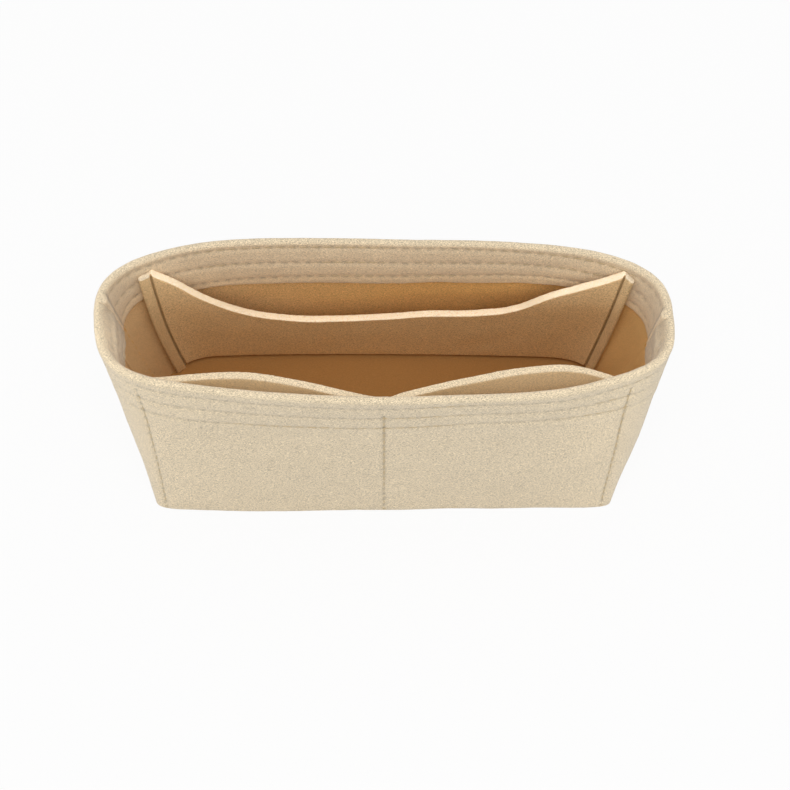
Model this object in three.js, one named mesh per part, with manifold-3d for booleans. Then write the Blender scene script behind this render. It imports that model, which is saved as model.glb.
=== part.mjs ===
// A felt purse organizer insert: a tube of needle felt with a hemmed oval rim and a flat oblong
// base, a rear divider sewn in by its folded ends, and two pockets sewn to the front wall.
// Millimetres, +Z up, front towards -Y. The origin is under the middle of the whole, on the table.

import * as THREE from 'three';
import { mergeVertices } from 'three/addons/utils/BufferGeometryUtils.js';
import Module from 'manifold-3d';

// Tube: outside sizes at the rim and at the base
const HEIGHT = 86;
const RIM_WIDTH = 210;
const RIM_DEPTH = 71;
const RIM_SQUARENESS = 3.1;
const BASE_WIDTH = 181.5;
const BASE_DEPTH = 78.6;
const BASE_SQUARENESS = 9;
const BASE_SETBACK = 6.4;
const FLARE_BAND = 34;
const FRONT_FLARE = 1.6;
const BACK_FLARE = 4.6;

// Felt plies
const WALL_FELT = 2;
const BASE_FELT = 3;
const PANEL_FELT = 3;
const TAB_FELT = 2.2;

// Hem: distances down from the rim, and below the last row of stitches
const FIRST_ROW = 2.8;
const ROW_PITCH = 7.8;
const HEM_MARGIN = 3.1;
const HEM_ROWS = ['upper', 'middle', 'lower'];
const LINING_EASE = 45;

// Side seams: the front half's end laps inside the back half
const LAP_WIDTH = 12;
const LAP_JOGGLE = 9;
const TACK_LENGTH = 10;
const TACK_MARGIN = 0.9;

// Pockets: distances along the wall from the front middle, and up and down
const POCKET_SEAM = 89;
const POCKET_EDGE = 4;
const POCKET_END_MARGIN = 13;
const POCKET_CENTRE_MARGIN = 5;
const POCKET_FOOT = 6;
const POCKET_DROP = 7.5;
const LEFT_GAPE = 8.5;
const RIGHT_GAPE = 10.3;
const GAPE_SKEW = 1.4;
const POCKET_SWING = 8;

// Divider: gaps behind it and under it, its lean, its dipped top edge and its loose middle
const REAR_GAP = 8;
const DIVIDER_LIFT = 8.5;
const DIVIDER_LEAN = 8.5;
const DIVIDER_DROP = 5;
const DIVIDER_DIP = 33.5;
const DIP_SHARPNESS = 3.4;
const DIVIDER_LOOSE = 110;
const TAB_WIDTH = 6;

// Thread, and the room left between pieces
const THREAD = 0.6;
const THREAD_GAP = 0.15;
const GAP = 0.3;
const MOVING_GAP = 0.4;
const SEAM_MARGIN = 2;
const BASE_SEAM_HEIGHT = 1.5;

// Facets round the tube and up it
const COLUMNS = 72;
const LEVELS = 7;
const PANEL_STEPS = 12;
const FOLD_STEPS = 4;
const TAB_STEPS = 4;
const END_STEPS = 3;
const ARC_STEPS = 1600;
const HALVINGS = 40;
const ON_A_LINE = 1e-6;

// Places round the tube as shares of its length, from the right side round by the back
const RIGHT_SIDE = 0;
const BACK_MIDDLE = 0.25;
const LEFT_SIDE = 0.5;
const FRONT_MIDDLE = 0.75;

// Heights that several pieces share
const HEM_DEPTH = FIRST_ROW + (HEM_ROWS.length - 1) * ROW_PITCH + HEM_MARGIN;
const HEM_EDGE = HEIGHT - HEM_DEPTH;
const HEM_FELT = 2 * WALL_FELT;
const FLOOR = BASE_FELT + GAP;
const POCKET_HINGE = FLOOR + POCKET_FOOT;
const POCKET_TOP = HEIGHT - POCKET_DROP;
const DIVIDER_FOOT = BASE_FELT + DIVIDER_LIFT;
const DIVIDER_TOP = HEIGHT - DIVIDER_DROP;
const SEAM_TOP = HEM_EDGE - SEAM_MARGIN;
const LINING_BEND = HEM_EDGE - GAP;

const wasm = await Module();
wasm.setup();

const { lerp, degToRad } = THREE.MathUtils;

// The tube's outside at one height: a superellipse whose sides run straight from base to rim,
// with a flare that eases in under the rim at the front and the back.
class Outline extends THREE.Curve {
  constructor(height) {
    super();
    const rise = height / HEIGHT;
    const flare = Math.max(0, 1 - (HEIGHT - height) / FLARE_BAND) ** 2;
    const baseFront = BASE_SETBACK - BASE_DEPTH / 2;
    const baseBack = BASE_SETBACK + BASE_DEPTH / 2;
    const front = lerp(baseFront, FRONT_FLARE - RIM_DEPTH / 2, rise) - flare * FRONT_FLARE;
    const back = lerp(baseBack, RIM_DEPTH / 2 - BACK_FLARE, rise) + flare * BACK_FLARE;
    this.height = height;
    this.halfWidth = lerp(BASE_WIDTH, RIM_WIDTH, rise) / 2;
    this.halfDepth = (back - front) / 2;
    this.middle = (back + front) / 2;
    this.squareness = 1 / lerp(1 / BASE_SQUARENESS, 1 / RIM_SQUARENESS, rise);
    this.arcLengthDivisions = ARC_STEPS;
  }

  getPoint(share, target = new THREE.Vector3()) {
    const angle = 2 * Math.PI * share;
    const across = Math.abs(Math.cos(angle) / this.halfWidth) ** this.squareness;
    const along = Math.abs(Math.sin(angle) / this.halfDepth) ** this.squareness;
    const radius = (across + along) ** (-1 / this.squareness);
    return target.set(radius * Math.cos(angle), this.middle + radius * Math.sin(angle), this.height);
  }
}

const RIM_LENGTH = new Outline(HEIGHT).getLength();

// Rings of points on the outside with their outward directions, one ring for each level
const wallRings = Array.from({ length: LEVELS + 1 }, (_, level) => {
  const points = new Outline((HEIGHT * level) / LEVELS).getSpacedPoints(COLUMNS).slice(0, COLUMNS);
  return points.map((point, i) => {
    const next = points[(i + 1) % COLUMNS];
    const last = points[(i + COLUMNS - 1) % COLUMNS];
    const out = new THREE.Vector3(next.y - last.y, last.x - next.x, 0).normalize();
    return { point, out };
  });
});

// A point at a depth inside the tube's outside, a share of the way round and at a height
function wallPoint(share, height, depth) {
  const column = (share - Math.floor(share)) * COLUMNS;
  const left = Math.floor(column) % COLUMNS;
  const level = Math.min(LEVELS - 1, Math.floor((height / HEIGHT) * LEVELS));
  const onRing = (ring) => {
    const a = ring[left];
    const b = ring[(left + 1) % COLUMNS];
    const slip = column - Math.floor(column);
    const out = a.out.clone().lerp(b.out, slip);
    return a.point.clone().lerp(b.point, slip).addScaledVector(out, -depth);
  };
  const rise = (height / HEIGHT) * LEVELS - level;
  return onRing(wallRings[level]).lerp(onRing(wallRings[level + 1]), rise);
}

// A length along the rim as a share of the way round
const alongWall = (length) => length / RIM_LENGTH;

// The facet lines between two places, with the places themselves
function linesBetween(start, end, spacing) {
  const first = Math.floor(start / spacing + ON_A_LINE) + 1;
  const last = Math.ceil(end / spacing - ON_A_LINE) - 1;
  const inner = Array.from({ length: Math.max(0, last - first + 1) }, (_, i) => (first + i) * spacing);
  return [start, ...inner, end];
}

const columnsBetween = (start, end) => linesBetween(start, end, 1 / COLUMNS);
const levelsBetween = (low, high) => linesBetween(low, high, HEIGHT / LEVELS);
const evenSteps = (count) => Array.from({ length: count + 1 }, (_, i) => i / count);

// How deep a lining lies inside the wall: on the hem's threads, and eased to the bare wall below
function liningDepth(height) {
  const onHem = HEM_FELT + THREAD + 2 * THREAD_GAP;
  const below = THREE.MathUtils.clamp((LINING_BEND - height) / LINING_EASE, 0, 1);
  return lerp(onHem, WALL_FELT, below) + GAP;
}

// The facet lines of a lining, with the two bends where it eases off the hem
function liningLevels(low, high) {
  const bends = [LINING_BEND - LINING_EASE, LINING_BEND].filter((bend) => bend > low && bend < high);
  return [...levelsBetween(low, high), ...bends].sort((a, b) => a - b);
}

// A closed solid from like sections, joined in a ring, or capped at both ends unless these draw in
// to a point. Each four-sided face is split so that the solid keeps inside its smooth form, so
// close neighbours stay clear.
function loft(rings, flatSection, joined = false) {
  const size = rings[0].length;
  const points = rings.flat();
  const quads = [];
  const caps = [];
  const spans = joined ? rings.length : rings.length - 1;
  for (let i = 0; i < spans; i += 1) {
    const near = i * size;
    const far = ((i + 1) % rings.length) * size;
    for (let k = 0; k < size; k += 1) {
      const next = (k + 1) % size;
      quads.push([near + k, near + next, far + next, far + k]);
    }
  }
  if (!joined) {
    const end = (rings.length - 1) * size;
    const clockwise = THREE.ShapeUtils.isClockWise(flatSection);
    THREE.ShapeUtils.triangulateShape(flatSection, []).forEach(([a, b, c]) => {
      const [second, third] = clockwise ? [b, c] : [c, b];
      caps.push([a, second, third], [end + a, end + third, end + second]);
    });
  }
  const volume = (faces) => faces.reduce((sum, [a, b, c]) => (
    sum + points[a].dot(points[b].clone().cross(points[c])) / 6
  ), 0);
  const splits = ([a, b, c, d]) => [[[a, b, c], [a, c, d]], [[a, b, d], [b, c, d]]];
  const inward = volume([...quads.flatMap((quad) => splits(quad)[0]), ...caps]) < 0;
  const outwards = (face) => (inward ? [...face].reverse() : face);
  const halves = quads.flatMap((quad) => {
    const [one, other] = splits(outwards(quad));
    return volume(one) < volume(other) ? one : other;
  });
  const spread = ([a, b, c]) => ![[a, b], [b, c], [c, a]].some(([i, k]) => points[i].equals(points[k]));
  const geometry = new THREE.BufferGeometry().setFromPoints(points);
  return geometry.setIndex([...halves, ...caps.map(outwards)].filter(spread).flat());
}

const asFlat = (section) => section.map(([height, depth]) => new THREE.Vector2(depth, height));

// A section in height and depth, carried round the tube from place to place
function sweep(places, section, joined = false) {
  const rings = places.map((share) => section.map(([height, depth]) => wallPoint(share, height, depth)));
  return loft(rings, asFlat(section), joined);
}

// A section of a ply that follows the wall's facets between two heights
function plySection(low, high, outerDepth, thickness) {
  const heights = liningLevels(low, high);
  const outer = heights.map((height) => [height, outerDepth(height)]);
  const inner = heights.map((height) => [height, outerDepth(height) + thickness]);
  return [...outer, ...inner.reverse()];
}

// Boolean join of closed geometries
function toSolid(geometry) {
  const bare = new THREE.BufferGeometry();
  bare.setAttribute('position', geometry.getAttribute('position'));
  bare.setIndex(geometry.getIndex());
  const welded = mergeVertices(bare);
  const vertProperties = new Float32Array(welded.getAttribute('position').array);
  const triVerts = new Uint32Array(welded.getIndex().array);
  return new wasm.Manifold(new wasm.Mesh({ numProp: 3, vertProperties, triVerts }));
}

function join(geometries) {
  const { vertProperties, triVerts } = geometries.map(toSolid).reduce((all, one) => all.add(one)).getMesh();
  const geometry = new THREE.BufferGeometry();
  geometry.setAttribute('position', new THREE.BufferAttribute(vertProperties, 3));
  geometry.setIndex(Array.from(triVerts));
  return geometry;
}

// Finishes
const feltMaterial = (color) => new THREE.MeshStandardMaterial({ color, roughness: 0.95, metalness: 0 });
const wallFelt = feltMaterial('#d9c9aa');
const panelFelt = feltMaterial('#cdb68f');
const baseFelt = feltMaterial('#c6a878');
const threadMaterial = new THREE.MeshStandardMaterial({ color: '#cbb791', roughness: 0.7, metalness: 0 });

const insert = new THREE.Group();

function addPiece(name, geometry, material) {
  geometry.computeVertexNormals();
  const mesh = new THREE.Mesh(geometry, material);
  mesh.name = name;
  insert.add(mesh);
}

// Wall halves: one ply that turns in over the rim as the hem

function hemmedSection() {
  const outside = levelsBetween(0, HEIGHT - WALL_FELT).map((height) => [height, 0]);
  const fold = evenSteps(FOLD_STEPS).slice(1, -1).map((share) => {
    const turn = Math.PI * share;
    return [HEIGHT - WALL_FELT * (1 - Math.sin(turn)), WALL_FELT * (1 - Math.cos(turn))];
  });
  const hem = levelsBetween(HEM_EDGE, HEIGHT - WALL_FELT).map((height) => [height, HEM_FELT]);
  const inside = levelsBetween(0, HEM_EDGE).map((height) => [height, WALL_FELT]);
  return [...outside, ...fold, ...hem.reverse(), ...inside.reverse()];
}

const halfWall = (start, end) => {
  const butt = alongWall(GAP / 2);
  return sweep(columnsBetween(start + butt, end - butt), hemmedSection());
};

// The lap steps in from the front half's ply and runs on behind the back half's
function lapTongue(side, towardsBack) {
  const rootDepth = WALL_FELT / 2;
  const lapDepth = WALL_FELT + GAP;
  const places = [-LAP_JOGGLE, -LAP_JOGGLE / 2, 0, LAP_WIDTH / 2, LAP_WIDTH];
  const depths = [rootDepth, (rootDepth + lapDepth) / 2, lapDepth, lapDepth, lapDepth];
  const section = (depth) => plySection(FLOOR, HEM_EDGE - GAP, () => depth, WALL_FELT);
  const rings = places.map((length, i) => section(depths[i]).map(([height, depth]) => (
    wallPoint(side + towardsBack * alongWall(length), height, depth)
  )));
  return loft(rings, asFlat(section(0)));
}

addPiece('back_wall', halfWall(RIGHT_SIDE, LEFT_SIDE), wallFelt);
addPiece('front_wall', join([
  halfWall(LEFT_SIDE, RIGHT_SIDE + 1),
  lapTongue(LEFT_SIDE, -1),
  lapTongue(RIGHT_SIDE, 1),
]), wallFelt);

// Base: one ply inside the foot of the wall

const baseEdge = (height) => evenSteps(COLUMNS).slice(1).map((share) => (
  wallPoint(share, height, WALL_FELT + GAP)
));
const baseMiddle = (height) => baseEdge(height).map(() => new THREE.Vector3(0, BASE_SETBACK, height));
addPiece('base_panel', loft([
  baseMiddle(0),
  baseEdge(0),
  baseEdge(BASE_FELT),
  baseMiddle(BASE_FELT),
], []), baseFelt);

// Divider: a leaning panel whose ends fold forward as tabs, which are sewn to the side walls

const dividerFootY = wallPoint(BACK_MIDDLE, DIVIDER_FOOT, WALL_FELT).y - REAR_GAP - PANEL_FELT;
const dividerFaceY = (height) => dividerFootY - (height - DIVIDER_FOOT) * Math.tan(degToRad(DIVIDER_LEAN));
const dividerLevels = liningLevels(DIVIDER_FOOT, DIVIDER_TOP);

// The place on the left side wall where a depth inside it meets a distance from the front
function leftPlaceAt(y, height, depth) {
  let low = BACK_MIDDLE;
  let high = LEFT_SIDE;
  for (let i = 0; i < HALVINGS; i += 1) {
    const half = (low + high) / 2;
    if (wallPoint(half, height, depth).y > y) {
      low = half;
    } else {
      high = half;
    }
  }
  return (low + high) / 2;
}

// The crease between panel and tab, on the face towards the front and on the face at the wall
const faceCrease = (height) => (
  leftPlaceAt(dividerFaceY(height), height, liningDepth(height) + TAB_FELT)
);
const wallCrease = (height) => leftPlaceAt(dividerFaceY(height) + PANEL_FELT, height, liningDepth(height));
const faceCreasePoint = (height) => wallPoint(faceCrease(height), height, liningDepth(height) + TAB_FELT);
const wallCreasePoint = (height) => wallPoint(wallCrease(height), height, liningDepth(height));
const DIVIDER_REACH = -faceCreasePoint(DIVIDER_TOP).x;

// Heights up the panel at a distance from its middle, drawn down by the dip of its top edge
function panelHeights(distance) {
  const dip = DIVIDER_DIP * (1 - (distance / DIVIDER_REACH) ** DIP_SHARPNESS);
  const shrink = 1 - dip / (DIVIDER_TOP - DIVIDER_FOOT);
  return dividerLevels.map((height) => DIVIDER_FOOT + (height - DIVIDER_FOOT) * shrink);
}

function dividerPanel() {
  const rings = evenSteps(PANEL_STEPS).map((share) => {
    const x = DIVIDER_LOOSE * (share - 0.5);
    const face = (behind) => panelHeights(Math.abs(x)).map((height) => (
      new THREE.Vector3(x, dividerFaceY(height) + behind, height)
    ));
    return [...face(0), ...face(PANEL_FELT).reverse()];
  });
  return loft(rings, rings[0].map((point) => new THREE.Vector2(point.y, point.z)));
}

addPiece('divider_panel', dividerPanel(), panelFelt);

// A sewn end on the left, or mirrored on the right: the panel from the loose middle to the
// crease, then the tab forward along the wall, its foot let down to the floor
function dividerEnd(mirror) {
  const start = DIVIDER_LOOSE / 2 + MOVING_GAP;
  const panelRings = evenSteps(END_STEPS).map((share) => {
    const heights = panelHeights(lerp(start, DIVIDER_REACH, share));
    const face = (behind, creasePoint) => heights.map((height) => {
      const crease = creasePoint(height);
      return new THREE.Vector3(lerp(-start, crease.x, share), dividerFaceY(height) + behind, height);
    });
    return [...face(0, faceCreasePoint), ...face(PANEL_FELT, wallCreasePoint).reverse()];
  });
  const tabHeights = [FLOOR, ...dividerLevels.slice(1)];
  const tabRings = evenSteps(TAB_STEPS).slice(1).map((share) => {
    const edge = (crease, depth) => tabHeights.map((height) => {
      const front = faceCrease(height) + alongWall(TAB_WIDTH);
      return wallPoint(lerp(crease(height), front, share), height, liningDepth(height) + depth);
    });
    return [...edge(faceCrease, TAB_FELT), ...edge(wallCrease, 0).reverse()];
  });
  const rings = [...panelRings, ...tabRings];
  rings.flat().forEach((point) => point.setX(mirror * point.x));
  const levels = dividerLevels.map((height) => new THREE.Vector2(0, height));
  const behind = dividerLevels.map((height) => new THREE.Vector2(PANEL_FELT, height));
  return loft(rings, [...levels, ...behind.reverse()]);
}

addPiece('divider_end_left', dividerEnd(1), panelFelt);
addPiece('divider_end_right', dividerEnd(-1), panelFelt);

// Pocket felt: a sewn-down border, and a loose panel over each pocket

const POCKET_LOOSE_END = POCKET_SEAM - POCKET_END_MARGIN;

function borderStrip(start, end, top) {
  const places = columnsBetween(FRONT_MIDDLE + alongWall(start), FRONT_MIDDLE + alongWall(end));
  return sweep(places, plySection(FLOOR, top, liningDepth, PANEL_FELT));
}

const POCKET_OUTER_EDGE = POCKET_SEAM + POCKET_EDGE;
addPiece('pocket_border', join([
  borderStrip(-POCKET_OUTER_EDGE, POCKET_OUTER_EDGE, POCKET_HINGE),
  borderStrip(-POCKET_OUTER_EDGE, -POCKET_LOOSE_END, POCKET_TOP),
  borderStrip(-POCKET_CENTRE_MARGIN, POCKET_CENTRE_MARGIN, POCKET_TOP),
  borderStrip(POCKET_LOOSE_END, POCKET_OUTER_EDGE, POCKET_TOP),
]), panelFelt);

// The panel's outer end leans in, so that it clears the border where the wall turns the corner
function pocketPanel(towards, gape) {
  const foot = POCKET_HINGE + MOVING_GAP;
  const middle = wallPoint(FRONT_MIDDLE, POCKET_TOP, 0);
  const end = wallPoint(FRONT_MIDDLE + alongWall(POCKET_LOOSE_END), POCKET_TOP, 0);
  const turn = 2 * Math.atan2(end.y - middle.y, end.x - middle.x);
  const lean = Math.sin(degToRad(POCKET_SWING)) * Math.sin(turn);
  const endAt = (height) => POCKET_LOOSE_END - MOVING_GAP - (height - foot) * lean;
  const heights = liningLevels(foot, POCKET_TOP);
  const rings = evenSteps(PANEL_STEPS).map((share) => {
    const bow = gape * Math.sin(Math.PI * share ** GAPE_SKEW);
    const face = (thickness) => heights.map((height) => {
      const length = lerp(POCKET_CENTRE_MARGIN + MOVING_GAP, endAt(height), share);
      const opening = (bow * (height - foot)) / (POCKET_TOP - foot);
      const depth = liningDepth(height) + opening + thickness;
      return wallPoint(FRONT_MIDDLE + towards * alongWall(length), height, depth);
    });
    return [...face(0), ...face(PANEL_FELT).reverse()];
  });
  return loft(rings, asFlat(plySection(foot, POCKET_TOP, liningDepth, PANEL_FELT)));
}

addPiece('pocket_panel_left', pocketPanel(-1, LEFT_GAPE), panelFelt);
addPiece('pocket_panel_right', pocketPanel(1, RIGHT_GAPE), panelFelt);

// Threads: each row is one square run that lies on the felt

const ON_OUTSIDE = () => -THREAD_GAP - THREAD;

function threadRow(start, end, height, depth) {
  const low = height - THREAD / 2;
  const high = height + THREAD / 2;
  const section = [[low, depth], [high, depth], [high, depth + THREAD], [low, depth + THREAD]];
  const ring = end - start === 1;
  const places = columnsBetween(start, end);
  return sweep(ring ? places.slice(0, -1) : places, section, ring);
}

// An upright run, at a place that may shift with the height, on the left side or mirrored
function threadRun(placeAt, low, high, depthAt, mirror = 1) {
  const half = THREAD / 2;
  const corners = [[-half, 0], [half, 0], [half, THREAD], [-half, THREAD]];
  const rings = liningLevels(low, high).map((height) => corners.map(([aside, depth]) => {
    const point = wallPoint(placeAt(height) + alongWall(aside), height, depthAt(height) + depth);
    return point.setX(mirror * point.x);
  }));
  return loft(rings, corners.map(([aside, depth]) => new THREE.Vector2(aside, depth)));
}

// An upright run on the outside keeps to the nearest facet line, where the faceted wall is straight
const nearestLine = (place) => () => Math.round(place * COLUMNS) / COLUMNS;

const addThread = (name, geometry) => addPiece(name, geometry, threadMaterial);

HEM_ROWS.forEach((row, i) => {
  const height = HEIGHT - FIRST_ROW - i * ROW_PITCH;
  addThread(`hem_row_${row}_outside`, threadRow(0, 1, height, ON_OUTSIDE()));
  addThread(`hem_row_${row}_inside`, threadRow(0, 1, height, HEM_FELT + THREAD_GAP));
});

addThread('base_seam', threadRow(0, 1, BASE_SEAM_HEIGHT, ON_OUTSIDE()));

// Pocket seams go through the wall and the border
const footSeamHeight = FLOOR + POCKET_FOOT / 2;
const onBorder = (height) => liningDepth(height) + PANEL_FELT + THREAD_GAP;
const pocketSeams = { left: -POCKET_SEAM, centre: 0, right: POCKET_SEAM };
Object.entries(pocketSeams).forEach(([name, length]) => {
  const place = nearestLine(FRONT_MIDDLE + alongWall(length));
  const low = footSeamHeight + SEAM_MARGIN;
  addThread(`pocket_seam_${name}_outside`, threadRun(place, low, SEAM_TOP, ON_OUTSIDE));
  addThread(`pocket_seam_${name}_inside`, threadRun(place, low, POCKET_TOP - SEAM_MARGIN, onBorder));
});
const footSeamEnds = [FRONT_MIDDLE - alongWall(POCKET_SEAM), FRONT_MIDDLE + alongWall(POCKET_SEAM)];
addThread('pocket_foot_seam_outside', threadRow(...footSeamEnds, footSeamHeight, ON_OUTSIDE()));
addThread('pocket_foot_seam_inside', threadRow(...footSeamEnds, footSeamHeight, onBorder(footSeamHeight)));

// Tab seams, lap seams and the tacks over the hem's butted ends
const onTab = (height) => liningDepth(height) + TAB_FELT + THREAD_GAP;
const onLap = () => HEM_FELT + GAP + THREAD_GAP;
const seamLow = FLOOR + SEAM_MARGIN;
const tabMiddle = (height) => faceCrease(height) + alongWall(TAB_WIDTH / 2);

// The inside tab seam keeps to the middle of the tab as the wall flares
[
  { side: 'left', place: LEFT_SIDE, towardsBack: -1, mirror: 1 },
  { side: 'right', place: RIGHT_SIDE, towardsBack: 1, mirror: -1 },
].forEach(({ side, place, towardsBack, mirror }) => {
  const tabFoot = nearestLine(tabMiddle(seamLow));
  addThread(`tab_seam_${side}_outside`, threadRun(tabFoot, seamLow, SEAM_TOP, ON_OUTSIDE, mirror));
  const tabHead = DIVIDER_TOP - SEAM_MARGIN;
  addThread(`tab_seam_${side}_inside`, threadRun(tabMiddle, seamLow, tabHead, onTab, mirror));
  const lapMiddle = nearestLine(place + towardsBack * alongWall(LAP_WIDTH / 2));
  addThread(`lap_seam_${side}_outside`, threadRun(lapMiddle, seamLow, SEAM_TOP, ON_OUTSIDE));
  addThread(`lap_seam_${side}_inside`, threadRun(lapMiddle, seamLow, SEAM_TOP, onLap));
  const tackHalf = alongWall(TACK_LENGTH / 2);
  const tackHigh = HEIGHT - FIRST_ROW - TACK_MARGIN;
  const tackLow = HEIGHT - FIRST_ROW - ROW_PITCH + TACK_MARGIN;
  const tackSection = plySection(tackLow, tackHigh, () => HEM_FELT + THREAD_GAP, THREAD);
  addThread(`bar_tack_${side}`, sweep(columnsBetween(place - tackHalf, place + tackHalf), tackSection));
});

// The rim reaches furthest forward and the base furthest back
insert.position.y = -(BASE_SETBACK + BASE_DEPTH / 2 - RIM_DEPTH / 2) / 2;

export default insert;
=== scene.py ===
"""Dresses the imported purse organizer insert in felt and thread, on a pale stage.

All lengths are metres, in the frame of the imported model: +X to the right, +Y to the back, +Z up.
A place round the tube is a share of the way round it, from the right side by the back.
"""

import math

import bmesh
import bpy
import numpy as np
from mathutils import Matrix, Vector, noise


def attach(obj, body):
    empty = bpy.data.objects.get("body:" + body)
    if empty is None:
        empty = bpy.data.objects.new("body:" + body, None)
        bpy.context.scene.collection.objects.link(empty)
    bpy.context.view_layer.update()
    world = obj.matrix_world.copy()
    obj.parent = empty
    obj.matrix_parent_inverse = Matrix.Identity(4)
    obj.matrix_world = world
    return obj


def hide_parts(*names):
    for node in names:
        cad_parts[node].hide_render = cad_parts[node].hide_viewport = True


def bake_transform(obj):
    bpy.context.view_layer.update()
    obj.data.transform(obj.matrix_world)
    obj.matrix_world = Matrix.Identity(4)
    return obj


bl_info = {
    "name": "Felt purse organizer insert",
    "version": (1, 0, 0),
    "blender": (4, 5, 0),
    "location": "3D View > Sidebar > Insert",
    "description": "Felt walls, divider, pockets and stitches around the packed insert",
    "category": "Add Mesh",
}

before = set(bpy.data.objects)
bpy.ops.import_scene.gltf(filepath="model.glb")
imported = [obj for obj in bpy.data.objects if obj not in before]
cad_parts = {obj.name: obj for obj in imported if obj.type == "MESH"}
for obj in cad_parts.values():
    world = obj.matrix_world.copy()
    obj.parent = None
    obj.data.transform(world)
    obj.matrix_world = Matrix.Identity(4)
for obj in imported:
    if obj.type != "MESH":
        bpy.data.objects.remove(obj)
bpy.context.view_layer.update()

MM = 0.001

# The tube's flare under the rim, at the front and at the back
FLARE_BAND = 34 * MM
FRONT_FLARE = 1.6 * MM
BACK_FLARE = 4.6 * MM
# How square the tube is; the base's corners are sharp at the front and round at the back
RIM_SQUARENESS = 3.1
FRONT_SQUARENESS = 20.0
BACK_SQUARENESS = 4.2
# Points round the tube, and steps up it, at which its outline is worked out
COLUMNS = 1440
LEVELS = 86

RIGHT_SIDE, LEFT_SIDE, FRONT_MIDDLE = 0.0, 0.486, 0.75
SIDE_SEAMS = (("left", LEFT_SIDE, -1), ("right", RIGHT_SIDE, 1))
TAB_SEAMS = {"left": 0.434, "right": 0.063}

# Soft felt stands unevenly. Each row: place, then in millimetres a height, half width, half
# height, and how far the wall stands out (or in, where negative) there
DENTS = (
    (0.395, 86, 46, 42, 2.0),
    (0.0, 36, 45, 26, 1.1),
    (0.622, 86, 30, 30, -1.3),
    (0.922, 86, 16, 24, -1.2),
    (0.75, 86, 34, 30, 0.7),
    (0.89, 0, 70, 30, -1.7),
    (0.55, 12, 36, 40, -1.2),
    (0.25, 66, 80, 12, -0.9),
    (0.25, 86, 90, 9, 0.5),
    (0.525, 80, 12, 24, -1.1),
)

# The hem's rows of stitches sit lower along the front. Each bump: amount, place, half width
HEM_ROWS = ("upper", "middle", "lower")
ROW_DROP = 3.4 * MM
ROWS_HIGHER = ((1.6 * MM, 0.82, 0.04),)
ROWS_CLOSER = (
    (0.15, 0.12, 0.06),
    (0.2, 0.87, 0.07),
    (0.22, 0.445, 0.02),
    (0.4, 0.515, 0.025),
    (-0.1, 0.4, 0.09),
)

# Room between plies, and how far below the hem a lining eases on to the bare wall
PLY_GAP = 0.3 * MM
THREAD_ROOM = 0.2 * MM
LINING_EASE = 45 * MM

SIDES = {"left": -1, "right": 1}
POCKET_SEAMS = {"left": -1, "centre": 0, "right": 1}
POCKET_SEAM_TOPS = {"left": 79 * MM, "centre": 75 * MM, "right": 79 * MM}
# The outer pocket seams slant: their reach at the foot, and how much wider it is at the rim
POCKET_FOOT_REACH = 0.93
POCKET_SLANT = 0.095

# How deep a row of stitches lies in the felt, and how far a seam ends before an edge
STITCH_DEPTH = 0.3 * MM
SEAM_END = 2 * MM
BASE_SEAM_HEIGHT = 1.5 * MM
# Points on a line of stitches round the tube
ROUND_POINTS = 1200
# A stitch's half length as a share of its pitch, and its height as a share of its width
STITCH_HALF = 0.38
STITCH_FLATNESS = 0.75

# Unevenness of the felt: height and size of its lumps in millimetres, and a seed
WALL_LUMPS = (0.35, 24, 0.0)
WALL_RIPPLES = (0.1, 5, 7.0)
WALL_CUT = (0.22, 1.3, 3.0)
HEM_WAVER = (1.0, 24, 11.0)
HEM_CRUMPLE = (0.45, 2.4, 13.0)
LAP_LUMPS = (0.15, 9, 2.0)
DIVIDER_LUMPS = (0.22, 14, 5.0)
POCKET_LUMPS = (0.25, 15, 4.0)
PANEL_CUT = (0.2, 1.2, 9.0)

# Edges that turn more than this stay sharp
SMOOTH_ANGLE = math.radians(50)

# Felt: a fleck's height and stretch, the noise that gives the darkest and palest fleck, how much
# dense places count and how long they are, and how much weaker flecks are where tone is 1
FLECK = 0.6 * MM
FLECK_STRETCH = (1.0, 3.0, 4.0)
FLECK_RANGE = (0.36, 0.67)
CLOUD_SHARE = 0.03
CLOUD = 15 * MM
INSIDE_FADE = 0.45
FACE_RELIEF, CUT_RELIEF = 0.2 * MM, 0.3 * MM
THREAD_PLY = 0.5 * MM


def length(name, description, default):
    """A size that a user may change."""
    return bpy.props.FloatProperty(
        name=name, description=description, default=default, min=0.0, unit="LENGTH", precision=4
    )


def amount(name, description, default):
    """A plain number, not below 0, that a user may change."""
    return bpy.props.FloatProperty(name=name, description=description, default=default, min=0.0)


def hex_colour(name, description, default):
    """A colour as an sRGB hex value."""
    return bpy.props.StringProperty(name=name, description=description, default=default)


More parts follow.
